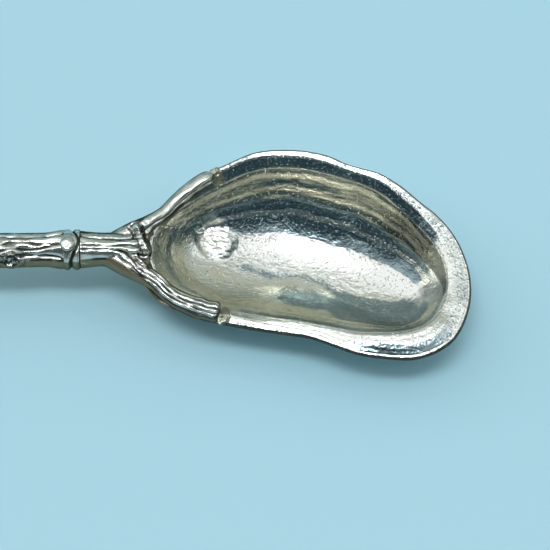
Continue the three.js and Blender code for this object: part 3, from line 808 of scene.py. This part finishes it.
def buildBowl():
    rows, count = bowl["rows"], bowl["columns"]
    sections = [bowlSection(column) for column in columns]
    edgeRow = rows["well"] + rows["lip"] + 1
    edgeEnd = edgeRow + rows["edge"]
    underRow = edgeEnd - 1 + rows["underLip"]
    for section in sections:
        relax(section, rows["well"] - 12, rows["well"] + 10, 9)
        relax(section, edgeRow - 2, edgeEnd, 1)
        relax(section, underRow - 8, underRow + 8, 24)
    last = len(sections[0]) - 1
    bm = spun([(0 if i in (0, last) else 1 + i, i) for i in range(last + 1)], count)
    placeLayer = bm.verts.layers.float_vector.new("shellPlace")
    toneLayers = [bm.verts.layers.float.new(name) for name in ("straw", "slate", "olive", "darkLinesAndShade")]
    spots = []
    for v in bm.verts:
        row, _, angle = roundZ(v)
        index = round((angle % tau) / tau * count) % count
        spots.append((v, round(row), index / count, columns[index]))
        v.co = sections[index][round(row)]
    bmesh.ops.recalc_face_normals(bm, faces=bm.faces)
    bm.normal_update()
    padAt = Vector(bowl["padAt"])
    inside = [v for v, row, _, _ in spots if row < rows["well"]]
    padMiddle = min(inside, key=lambda v: (v.co.to_2d() - padAt).length).co.z + bowl["padHeight"]
    moves, padMoves = [], []
    for v, row, turn, column in spots:
        spot = v.co
        circle = Vector((0, 3 * math.cos(tau * turn), 3 * math.sin(tau * turn)))
        relief = 0.0
        if row > edgeRow:
            v[placeLayer] = (1.3, 4 * turn, 0)
            # the rim's edge and the lip's underside: straw tone, and painted shade that is darkest at the
            # edge
            tones = (0.45, 0.0, 0.0, 0.9 * (1 - smooth(edgeEnd - 2, edgeEnd + 3, row)))
            if spot.z > 0.05:
                relief = mottled(spot, (0.02, 2.2, 41), (0.01, 1, 43))
        elif row > rows["well"]:
            out = (row - rows["well"]) / rows["lip"]
            v[placeLayer] = circle + Vector((1 + 0.1 * out, 0, 0))
            tones = lipTones(spot, out, column)
            lines = 0.008 * math.sin(tau * out * 4 + mottled(spot, (3, 4, 51))) * (1 - column["far"])
            relief = (lines + mottled(spot, (0.03, 1.6, 53), (0.018, 0.6, 55))) * (1 - smooth(0.85, 1.0, out))
        else:
            across = (row / rows["well"]) ** 0.9
            growth, side = 1.0, column["far"] - column["close"]
            if across < 1:
                growth, _, side = valleyShare(spot, (across - 1) * column["shoulder"].dot(column["lean"]))
            v[placeLayer] = circle + Vector((growth, 0, 0))
            tones = wellTones(spot, growth, side, column["share"])
            relief = shellRelief(spot, growth, across, side)
            height, share = padShape(spot, padMiddle)
            if share > 0:
                padMoves.append((v, height, share))
                tones = (tones[0] * (1 - share), tones[1] * (1 - share), *tones[2:])
        for layer, tone in zip(toneLayers, tones):
            v[layer] = tone
        moves.append((v, v.normal * relief))
    for v, move in moves:
        v.co += move
    for v, height, share in padMoves:
        v.co.z = mix(v.co.z, height, share)
    finishPiece(bm, "bowl_shell", "bowl_silver", "bowl")


buildBowl()


# Branch: grooves in the bark. Each is a line of [along in mm, degrees round from the top to the near side],
# its depth and its half width in mm

branch = {
    "handleRadius": 2.7,
    "tailRadius": 2.9,
    "nodeRadius": 3.15,
    "neckRadius": 2.7,
    "handleArch": 1.4,
    "handleSway": 0.8,
    "farTwig": (17.3, 1.25),   # length along the rim and radius
    "nearTwig": (19.8, 1.5),
    "twigLift": 0.9,
    "fibreHeight": 0.05,
    "handleSides": 132,
    "handleStep": 0.14,
    "forkVoxel": 0.13,
}

collarLow, collarHigh = boxInMm("node_collar")
nodeCentre = (collarLow + collarHigh) / 2
heelX = bowlLow.x
neckLength = heelX - nodeCentre.x
handleLow, handleHigh = boxInMm("handle_branch")

handleGrooves = [
    ([(0, 2), (4, 2), (7.5, -9), (10.2, 3), (15, 6)], 0.26, 0.13),
    ([(2.4, 10), (3.8, 20), (6.3, 19), (8.3, 17), (10.2, 23), (16, 26)], 0.3, 0.16),
    ([(0, 52), (2.4, 46), (4.5, 42), (7.4, 41), (12, 44), (18, 50)], 0.34, 0.22),
    ([(0, 76), (3, 78), (7, 76), (12, 80)], 0.3, 0.2),
    ([(0, -34), (5, -30), (10, -32), (16, -24)], 0.3, 0.17),
    ([(0, -62), (6, -58), (12, -64)], 0.28, 0.2),
    ([(0, -98), (9, -92), (16, -100)], 0.2, 0.22),
    ([(12, 62), (18, 66), (26, 60)], 0.24, 0.16),
    ([(14, -12), (20, -8), (30, -14)], 0.24, 0.14),
]
neckGrooves = [
    ([(0, -24), (3, -20), (6, -20), (9, -26)], 0.32, 0.2),
    ([(0, 8), (4, 9), (8, 7), (11, 4)], 0.22, 0.1),
    ([(0, 22), (3.5, 21), (5.6, 23), (8, 34), (10, 42)], 0.25, 0.12),
    ([(0, 66), (3, 60), (5.5, 58), (8, 64), (11, 76)], 0.38, 0.24),
    ([(0, -48), (4, -52), (8, -50)], 0.24, 0.15),
    ([(0, -80), (5, -84), (9, -78)], 0.26, 0.2),
]
farTwigGrooves = [
    ([(0, 38), (6, 44), (11, 40), (16, 48)], 0.16, 0.12),
    ([(0, 70), (7, 74), (14, 70)], 0.14, 0.14),
    ([(0, -38), (5, -42), (10, -46)], 0.12, 0.1),
    ([(0, -72), (6, -70), (14, -76)], 0.14, 0.14),
]
nearTwigGrooves = [
    ([(0, -34), (5, -30), (9, -36), (14, -30), (20, -34)], 0.26, 0.12),
    ([(0, 0), (5, 6), (10, -2), (15, 5), (20, 2)], 0.28, 0.11),
    ([(0, 30), (6, 34), (11, 28), (20, 34)], 0.26, 0.12),
    ([(0, 64), (6, 58), (12, 66), (20, 60)], 0.26, 0.15),
    ([(0, -66), (8, -60), (16, -70)], 0.22, 0.14),
]


def barkRelief(grooves, along, degrees, radius, seed, under):
    # height in mm and how dark it is. The degrees run round from the top to the near side
    height, dark = 0.0, 0.0
    bark = 1 - under
    for number, (line, depth, halfWidth) in enumerate(grooves):
        loose = smooth(line[-1][0] - 2, line[-1][0] + 6, along)
        ends = smooth(line[0][0] - 1.2, line[0][0] + 0.4, along)
        ends *= 1 - 0.9 * loose * smooth(-0.1, 0.35, wander(along / 7, number * 3.7, seed))
        centre = follow(line, along) + 14 * loose * wander(along / 6, number * 2.3, seed + 1)
        centre += 5 * wander(along / 2.4, number * 5.1, seed + 2)
        centre += 1.6 * wander(along / 0.8, number * 4.1, seed + 4)
        away = arc(degrees, centre, radius)
        if abs(away) > 5 * halfWidth + 0.6:
            continue
        ends *= min(1.3, max(0.2, 0.95 + 1.1 * wander(along / 1.9, number * 7.3, seed + 3)))
        width = halfWidth * (1 + 0.5 * wander(along / 1.7, number * 6.7, seed + 5))
        height -= 1.15 * depth * ends * bark * (0.5 * bell(away, width) + 0.5 * bell(away, 3.4 * width))
        dark = max(dark, ends * bark * bell(away, 1.3 * width))
    turn = math.radians(degrees)
    x, y = radius * math.cos(turn), radius * math.sin(turn)

    def drawnOut(size, length):
        return wander(x / size, y / size, along / length + seed)

    fibres = drawnOut(0.55, 3.1) + 0.5 * drawnOut(0.24, 1.5)
    swell = 0.13 * drawnOut(1.3, 4.5) + 0.07 * drawnOut(0.6, 2.0)
    # painted shade: a dark line where the rubbed bark meets the shaded underside
    shade = 0.95 * bell(under - 0.5, 0.42) * smooth(-0.7, -0.15, wander(along / 2.2, degrees / 40, seed + 6))
    height += branch["fibreHeight"] * (0.15 + 0.85 * bark) * fibres + swell * (0.4 + 0.6 * bark)
    return height, max(dark, shade)


def underShare(degrees, start):
    # 1 on the smooth underside, which starts that many degrees from the top, and higher on the far side;
    # painted brown as tarnish and painted shade
    turn = (degrees + 180) % 360 - 180
    start = start if turn > 0 else min(start, 44)
    return smooth(start, start + 14, abs(turn))


# groove: dark oxide in grooves and pits, and painted shade; under: the smooth underside, painted brown as
# tarnish and painted shade
def paintLayers(bm):
    return (bm.verts.layers.float.new("groove"), bm.verts.layers.float.new("under"),
            bm.verts.layers.float_vector.new("barkPlace"))


# Handle

def handleRoute():
    length = handleHigh.x - handleLow.x
    drop = nodeCentre.z - branch["tailRadius"] + 0.2
    points = [(0, 0, 0), (0.12, -0.35, 0.2), (0.34, -1, 1), (0.52, -0.2, 0.8), (0.72, 0.8, -0.1),
              (0.88, 0.3, -0.2), (1, 0, 0)]

    def fall(along):
        return smooth(0.4, 1.08, along) ** 1.1

    return Route([Vector((handleHigh.x - along * length, sway * branch["handleSway"],
                          nodeCentre.z + arch * branch["handleArch"] - drop * fall(along) / fall(1)))
                  for along, sway, arch in points])


handleLine = handleRoute()
knots = {
    "front": {"along": 8.4, "degrees": 54, "radius": 1.5, "seed": 60},
    "middle": {"along": 36, "degrees": -40, "radius": 1.6, "seed": 70},
    "tail": {"along": 66, "degrees": 40, "radius": 1.4, "seed": 80},
}


def handleThickness(along):
    base, tail = branch["handleRadius"], branch["tailRadius"]
    share = along / handleLine.total
    radius = base + (tail - base) * smooth(0.82, 0.96, share)
    radius += 0.32 * hump(share, 0.45, 0.045) + 0.16 * math.sin(12 * share) * smooth(0, 0.25, share)
    radius = mix(branch["nodeRadius"] - 0.1, radius, smooth(0.3, 3.2, along))
    ending = handleLine.total - along
    if ending < 1:
        radius -= 0.75 * (1 - math.sqrt(max(0.0, 1 - (1 - ending) ** 2)))
    return radius


def onRing(frameHere, reach, angle):
    centre, _, side, up = frameHere
    return centre + side * reach * math.cos(angle) + up * reach * math.sin(angle)


def buildHandle():
    total = handleLine.total
    steps = round(total / branch["handleStep"])
    rings = [(2, total * i / steps) for i in range(steps + 1)]
    bm = spun([(0, 0), (1.5, 0), *rings, (1.5, total), (0, total)], branch["handleSides"])
    darkAndShadeLayer, underLayer, placeLayer = paintLayers(bm)
    frames = {}
    for v in bm.verts:
        along, ring, angle = roundZ(v)
        key = round(along * 1000)
        if key not in frames:
            frames[key] = handleLine.frame(along / total)
        degrees = math.degrees(math.pi / 2 - angle)
        radius = handleThickness(along)
        under = underShare(degrees, 51)
        relief, dark = barkRelief(handleGrooves, along, degrees, radius, 3.0, under)
        for knot in knots.values():
            across = arc(degrees, knot["degrees"], radius)
            away = math.hypot(across, along - knot["along"]) / knot["radius"]
            if away < 2.2:
                relief += 0.42 * bell(away - 0.95, 0.4) + 0.12 * bell(away, 0.8)
                dark = max(dark, 0.8 * bell(away - 0.62, 0.22), 0.5 * bell(away - 1.5, 0.2))
        quiet = smooth(0, 0.6, along) * smooth(0, 0.6, total - along)
        v.co = onRing(frames[key], ring / 2 * (radius + relief * quiet), angle)
        v.co.z = max(0.0, v.co.z)
        v[darkAndShadeLayer], v[underLayer] = dark, under
        v[placeLayer] = (along, 3 * math.cos(angle), 3 * math.sin(angle))
    finishPiece(bm, "handle_bark", "bark_silver", "handle_branch")


# Knots: cut faces of the pruned twigs, pitted, set in their swellings
def buildKnot(name, knot):
    centre, forward, side, up = handleLine.frame(knot["along"] / handleLine.total)
    turn = math.pi / 2 - math.radians(knot["degrees"])
    out = side * math.cos(turn) + up * math.sin(turn)
    radius = knot["radius"] * 0.78
    section = [(0, -1.0), (0.5 * radius, -1.0)]
    section += [(radius * 1.02, -0.6 + 0.9 * i / 8) for i in range(9)]
    face = [(1 - i / 14, math.sin(math.pi * min(1, 2 * i / 14))) for i in range(1, 15)]
    section += [(radius * share, 0.3 + 0.12 * rise) for share, rise in face]
    bm = spun(section, 64)
    darkAndShadeLayer, _, placeLayer = paintLayers(bm)
    basis = Matrix((forward, out.cross(forward), out)).transposed()
    base = centre + out * (handleThickness(knot["along"]) + 0.1)
    for v in bm.verts:
        pit = mottled(v.co, (1, 0.5, knot["seed"]), (0.6, 0.22, knot["seed"] + 4))
        if v.co.z > 0.2:
            v.co.z += 0.16 * pit - 0.2 * (1 - smooth(0.2, 0.75, math.hypot(v.co.x, v.co.y) / radius))
            v[darkAndShadeLayer] = min(1.0, max(0.0, 0.6 - 0.9 * pit))
        v[placeLayer] = v.co
        v.co = base + basis @ v.co
    finishPiece(bm, "knot_" + name, "bark_silver", "pruned_twig_" + name)


buildHandle()
for name, knot in knots.items():
    buildKnot(name, knot)


# Fork: the neck parts into two twigs that run along the rim

fork = {
    "webThickness": 2.6,
    "neckRadii": [(0, 3.0), (0.12, 2.82), (0.3, 2.7), (0.75, 2.7), (0.88, 2.3), (0.97, 1.5), (1, 0.3)],
    # rounded folds in the crotch: along and beside the neck in shares of its length and radius, turn in
    # degrees, half length and half width in the same shares
    "folds": [
        (-0.2, 0, 0, 0.36, 0.95), (-0.06, 0.85, 38, 0.27, 0.62), (-0.06, -0.85, -38, 0.27, 0.62),
        (0.0, 0.3, 62, 0.17, 0.4), (0.0, -0.35, -62, 0.17, 0.4),
    ],
    # veins and creases seen from above: points in mm, height and half width
    "veins": [
        ([(-27.3, 4.2), (-26.5, 2.9), (-25.9, 0.9), (-25.2, -0.6), (-24.6, -2.2)], 0.6, 0.36),
        ([(-28.2, 3.6), (-27.3, 2.2), (-26.9, 0.8)], -0.3, 0.16),
        ([(-25.9, 4.0), (-25.4, 2.6), (-25.0, 1.4)], -0.34, 0.2),
        ([(-30.5, -0.9), (-28.4, -1.3), (-27.0, -2.4), (-26.0, -4.0)], -0.3, 0.15),
        ([(-28.0, 3.2), (-26.6, 4.2), (-25.0, 5.6)], -0.26, 0.18),
        ([(-26.8, -1.2), (-26.0, -2.6), (-24.8, -3.6)], 0.26, 0.2),
        ([(-27.6, -3.0), (-26.4, -4.4), (-24.6, -5.8)], -0.26, 0.16),
    ],
    "veinsFrom": -22,  # they lie nearer the handle than this
}

forkVeins = [Crease(*vein) for vein in fork["veins"]]


def neckRoute():
    start = Vector((nodeCentre.x + 1.3, 0, nodeCentre.z))
    return Route([start, start + Vector((0.35 * neckLength, 0, 0)),
                  Vector((heelX - 0.25 * neckLength, 0, nodeCentre.z - 0.2)),
                  Vector((heelX + 0.6 * branch["neckRadius"], 0, nodeCentre.z - 0.7))])


def twigRoute(way, length, radius):
    wide = branch["neckRadius"]
    points = [Vector((heelX - 0.55 * neckLength, 0.1 * wide * way, nodeCentre.z - 0.1)),
              Vector((heelX - 0.14 * neckLength, 1.12 * wide * way, nodeCentre.z))]
    for i in range(6):
        rim = rimAt(way * length * mix(0.38, 1, i / 5) / rimRoute.total)
        axis = rim["edge"] + rim["inward"] * (radius - (0.45 if way < 0 else 0) * max(0, 1 - i / 3))
        axis.z = bowl["shoulderHeight"] + 0.5 * bowl["lipRise"] + rim["lift"] + branch["twigLift"]
        points.append(axis)
    return Route(points)


neckLine = neckRoute()
farLine = twigRoute(1, *branch["farTwig"])
nearLine = twigRoute(-1, *branch["nearTwig"])


def twigThickness(route, radius, roundEnd, along):
    share = along / route.total
    thick = 1.25 - 0.25 * smooth(0.1, 0.5, share) + 0.05 * math.sin(9 * share)
    ending = (route.total - along) / radius
    if ending < roundEnd:
        thick *= math.sqrt(max(0.02, 1 - (1 - ending / roundEnd) ** 2))
    return thick * radius


def neckThickness(along):
    return follow(fork["neckRadii"], along / neckLine.total)


def farTwigThickness(along):
    return twigThickness(farLine, branch["farTwig"][1], 1.3, along)


def nearTwigThickness(along):
    # two small knots near the cut end
    knots = 0.14 * bell(along - nearLine.total + 1.0, 0.5) + 0.2 * bell(along - nearLine.total + 3.3, 0.55)
    return twigThickness(nearLine, branch["nearTwig"][1], 0.22, along) + knots


def joinInto(bm, other):
    bmesh.ops.recalc_face_normals(other, faces=other.faces)
    mesh = meshFrom(other, "part")
    bm.from_mesh(mesh)
    bpy.data.meshes.remove(mesh)


def addTube(bm, route, thickness, sides=40, step=0.3):
    steps = round(route.total / step)
    tube = spun([(0, 0), *[(1, route.total * i / steps) for i in range(steps + 1)], (0, route.total)], sides)
    for v in tube.verts:
        along, ring, angle = roundZ(v)
        v.co = onRing(route.frame(along / route.total), ring * thickness(along), angle)
    joinInto(bm, tube)


def routeTree(route, samples=160):
    tree = kdtree.KDTree(samples)
    for i in range(samples):
        tree.insert(route.at((i + 0.5) / samples), i)
    tree.balance()
    return [route.frame((i + 0.5) / samples) for i in range(samples)], tree


def placeOn(frames, tree, total, point):
    # along in mm, degrees round from the top to the near side, and distance from the axis
    index = tree.find(point)[1]
    centre, forward, side, up = frames[index]
    away = point - centre
    ahead = away.dot(forward)
    along = (index + 0.5) / len(frames) * total + ahead
    degrees = math.degrees(math.atan2(-away.dot(side), away.dot(up)))
    return along, degrees, (away - forward * ahead).length


def crotchPaint(v, relief, dark, under):
    # veins, creases and crumpled bark where the twigs part
    flat = v.co.to_2d()
    for vein in forkVeins:
        strength, away = vein.at(flat)
        relief += vein.height * strength
        if vein.height < 0:
            dark = max(dark, 0.9 * strength)
        elif strength > 0.01:
            dark = max(dark * (1 - strength), 0.8 * bell(away - 1.7 * vein.width, 0.12))
            under *= 1 - strength
    crumple = bell(flat.x - heelX - 0.3, 2.6) * bell(flat.y, 5)
    lumps = mottled(v.co, (1, 0.8, 90))
    return relief + 0.16 * crumple * lumps, max(dark, 0.8 * crumple * smooth(0.22, 0.5, -lumps)), under


def buildFork():
    # each with its bark, a seed, and the degrees from the top where its underside starts, at root and end
    limbs = [
        (neckLine, neckThickness, neckGrooves, 5.0, (50, 46)),
        (farLine, farTwigThickness, farTwigGrooves, 15.0, (56, 70)),
        (nearLine, nearTwigThickness, nearTwigGrooves, 25.0, (14, 62)),
    ]
    bm = bmesh.new()
    for route, thickness, *_ in limbs:
        addTube(bm, route, thickness)
    for along, beside, turn, halfLength, halfWidth in fork["folds"]:
        lump = bmesh.new()
        bmesh.ops.create_uvsphere(lump, u_segments=32, v_segments=20, radius=1)
        size = (halfLength * neckLength, halfWidth * branch["neckRadius"], 0.5 * fork["webThickness"])
        height = bowl["shoulderHeight"] + bowl["lipRise"] + 0.25 * fork["webThickness"] - along * 1.14
        place = (heelX + along * neckLength, beside * branch["neckRadius"], height)
        turned = Matrix.Rotation(math.radians(turn), 3, "Z")
        bmesh.ops.scale(lump, vec=size, verts=lump.verts)
        bmesh.ops.rotate(lump, cent=(0, 0, 0), matrix=turned, verts=lump.verts)
        bmesh.ops.translate(lump, vec=place, verts=lump.verts)
        joinInto(bm, lump)
    bm = remeshed(bm, branch["forkVoxel"], 8)
    layers = paintLayers(bm)
    trees = [routeTree(limb[0]) for limb in limbs]
    neckStart = neckLine.at(0).x
    moves = []
    for v in bm.verts:
        relief = dark = under = weights = 0.0
        place = Vector()
        for (route, thickness, grooves, seed, smoothFrom), tree in zip(limbs, trees):
            along, degrees, away = placeOn(*tree, route.total, v.co)
            thick, turn = thickness(along), math.radians(degrees)
            weight = 1 / (0.02 + (away - thick) ** 2) ** 2
            shaded = underShare(degrees, mix(*smoothFrom, smooth(0.15, 0.6, along / route.total)))
            height, shade = barkRelief(grooves, along, degrees, thick, seed, shaded)
            relief += weight * height
            dark += weight * shade
            under += weight * shaded
            place += weight * Vector((along, 3 * math.sin(turn), 3 * math.cos(turn)))
            weights += weight
        relief, dark, under, place = relief / weights, dark / weights, under / weights, place / weights
        if v.normal.z > 0 and v.co.x < fork["veinsFrom"]:
            relief, dark, under = crotchPaint(v, relief, dark, under)
        moves.append((v, v.normal * relief * smooth(neckStart, neckStart + 0.5, v.co.x)))
        for layer, value in zip(layers, (dark, under, place)):
            v[layer] = value
    for v, move in moves:
        v.co += move
    finishPiece(bm, "fork_bark", "bark_silver", "branch_fork")


buildFork()


# Node: the collar between handle and neck, and the bud on it

node = {
    "budRadius": (1.2, 1.35, 0.7),
    "budAt": (-0.55, -0.25),   # from the node's centre, along and across
    "rings": [(-0.62, 0.13, 0.24), (0.78, 0.12, 0.16)],  # along, height and half width
    "groove": (0.2, 0.34, 0.3),   # along, depth and half width
    "halfLength": 1.3,
    "sides": 260,
    "rows": 44,
}


def buildCollar():
    half, rows = node["halfLength"], node["rows"]
    grooveAt, depth, width = node["groove"]
    rings = [(1, mix(-half, half, i / rows)) for i in range(rows + 1)]
    bm = spun([(0, -half), *rings, (0, half)], node["sides"])
    darkAndShadeLayer, underLayer, placeLayer = paintLayers(bm)
    for v in bm.verts:
        along, ring, turn = roundZ(v)
        degrees = math.degrees(turn)
        # the groove curves forward over the bud, and back below it
        fromGroove = along - (grooveAt + (1.25 * bell(degrees + 4, 38) - 0.3))
        relief = -depth * bell(fromGroove, width)
        dark = bell(fromGroove, width)
        below = band(14, 30, 105, 125, degrees)
        for place, rise, spread in node["rings"]:
            relief += rise * below * bell(along - place, spread)
            # painted shade: a dark line beside each ring on the collar's lower side
            dark = max(dark, 0.55 * below * bell(along - place - 1.5 * spread, 0.1))
        relief += 0.06 * wander(math.cos(turn) * 3, math.sin(turn) * 3, along * 1.5)
        edges = smooth(0, 0.25, half - abs(along))
        reach = ring * (branch["nodeRadius"] - 0.18 * (1 - edges) + relief * edges)
        v.co = nodeCentre + Vector((along, -reach * math.sin(turn), reach * math.cos(turn)))
        # painted shade at the collar's ends, where it meets the handle and the neck
        v[darkAndShadeLayer] = 0.95 * max(dark, 0.75 * (1 - edges))
        v[underLayer] = underShare(degrees, 54)
        v[placeLayer] = (along * 3, 3 * math.sin(turn), 3 * math.cos(turn))
    finishPiece(bm, "collar_ring", "bark_silver", "node_collar")


def buildBud():
    bm = bmesh.new()
    bmesh.ops.create_uvsphere(bm, u_segments=72, v_segments=48, radius=1)
    bmesh.ops.scale(bm, vec=node["budRadius"], verts=bm.verts)
    darkAndShadeLayer, _, placeLayer = paintLayers(bm)
    seat = nodeCentre + Vector((*node["budAt"], branch["nodeRadius"] - 0.26))
    for v in bm.verts:
        # painted shade: the bud darkens towards its foot on the collar
        v[darkAndShadeLayer] = 0.95 * smooth(0.34, 0.05, v.co.z)
        v[placeLayer] = v.co
        # a dent on the side of the handle
        v.co.z -= 0.16 * bell(v.co.x + 0.15, 0.4) * bell(v.co.y + 0.35, 0.45) * smooth(0, 0.4, v.co.z)
        v.co *= 1 + 0.06 * wander(v.co.x / 0.7, v.co.y / 0.7, v.co.z / 0.7 + 9)
        v.co += seat
    finishPiece(bm, "bud_bead", "bark_silver", "node_bud")


buildCollar()
buildBud()


# The cradle keeps the CAD's shape, softened
def buildCradle():
    bm = bmesh.new()
    bm.from_mesh(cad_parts["heel_cradle"].data)
    bmesh.ops.scale(bm, vec=(1 / mm,) * 3, verts=bm.verts)
    bmesh.ops.remove_doubles(bm, verts=bm.verts, dist=1e-3)
    bm = remeshed(bm, 0.2, 6)
    for v in bm.verts:
        v.co += v.normal * (0.12 + 0.06 * wander(v.co.x / 2.4, v.co.y / 2.4, v.co.z / 2.4))
        # the outside runs in under the twigs, and solder fills the seat
        way = math.copysign(1, v.co.y)
        tuck = 0.95 * smooth(4.8, 7.8, v.co.z) * smooth(1.5, 4.0, abs(v.co.y))
        low = smooth(-26, -22, v.co.x) * smooth(0.8, 4.5, v.co.z) * smooth(2.5, 5.0, abs(v.co.y))
        tuck = max(tuck, 1.2 * low)
        v.co.y -= way * tuck * smooth(-0.1, 0.45, way * v.normal.y) * (1 if way < 0 else 0.5)
        v.co.z += 0.3 * smooth(7.6, 9.0, v.co.z)
    finishPiece(bm, "cradle_back", "cradle_silver", "heel_cradle")


# Solder that ran out on the lip in front of each twig's end
solder = {"halfLength": 1.25, "beyondTwig": 0.45, "outMiddle": 0.46, "outHalf": 0.56, "height": 0.34}


def buildSolder(side, way, seed):
    bm = bmesh.new()
    bmesh.ops.create_uvsphere(bm, u_segments=96, v_segments=48, radius=1)
    for v in bm.verts:
        x, y = v.co.x, v.co.y
        ragged = 1 + 0.25 * wander(x * 1.5, y * 1.5, seed) + 0.1 * wander(x * 4, y * 4, seed)
        along = branch[side + "Twig"][0] + solder["beyondTwig"] + ragged * x * solder["halfLength"]
        out = solder["outMiddle"] + ragged * y * solder["outHalf"]
        height = v.co.z * solder["height"] * (1 + 0.5 * wander(x * 3, y * 3, seed + 5))
        place = way * along / rimRoute.total % 1 * bowl["columns"]
        a, b = (lipSpot(columns[(int(place) + k) % bowl["columns"]], out) for k in (0, 1))
        v.co = a.lerp(b, place - int(place)) + Vector((0, 0, height))
    finishPiece(bm, side + "_solder_bead", "solder", side + "_twig_solder")


buildCradle()
buildSolder("far", 1, 1)
buildSolder("near", -1, 2)

# The pin keeps its CAD shape
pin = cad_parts["joint_spigot"]
pin.data.materials.clear()
pin.data.materials.append(finishes["spigot_silver"])
report("pin has its finish")

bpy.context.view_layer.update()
report("sizes are written")
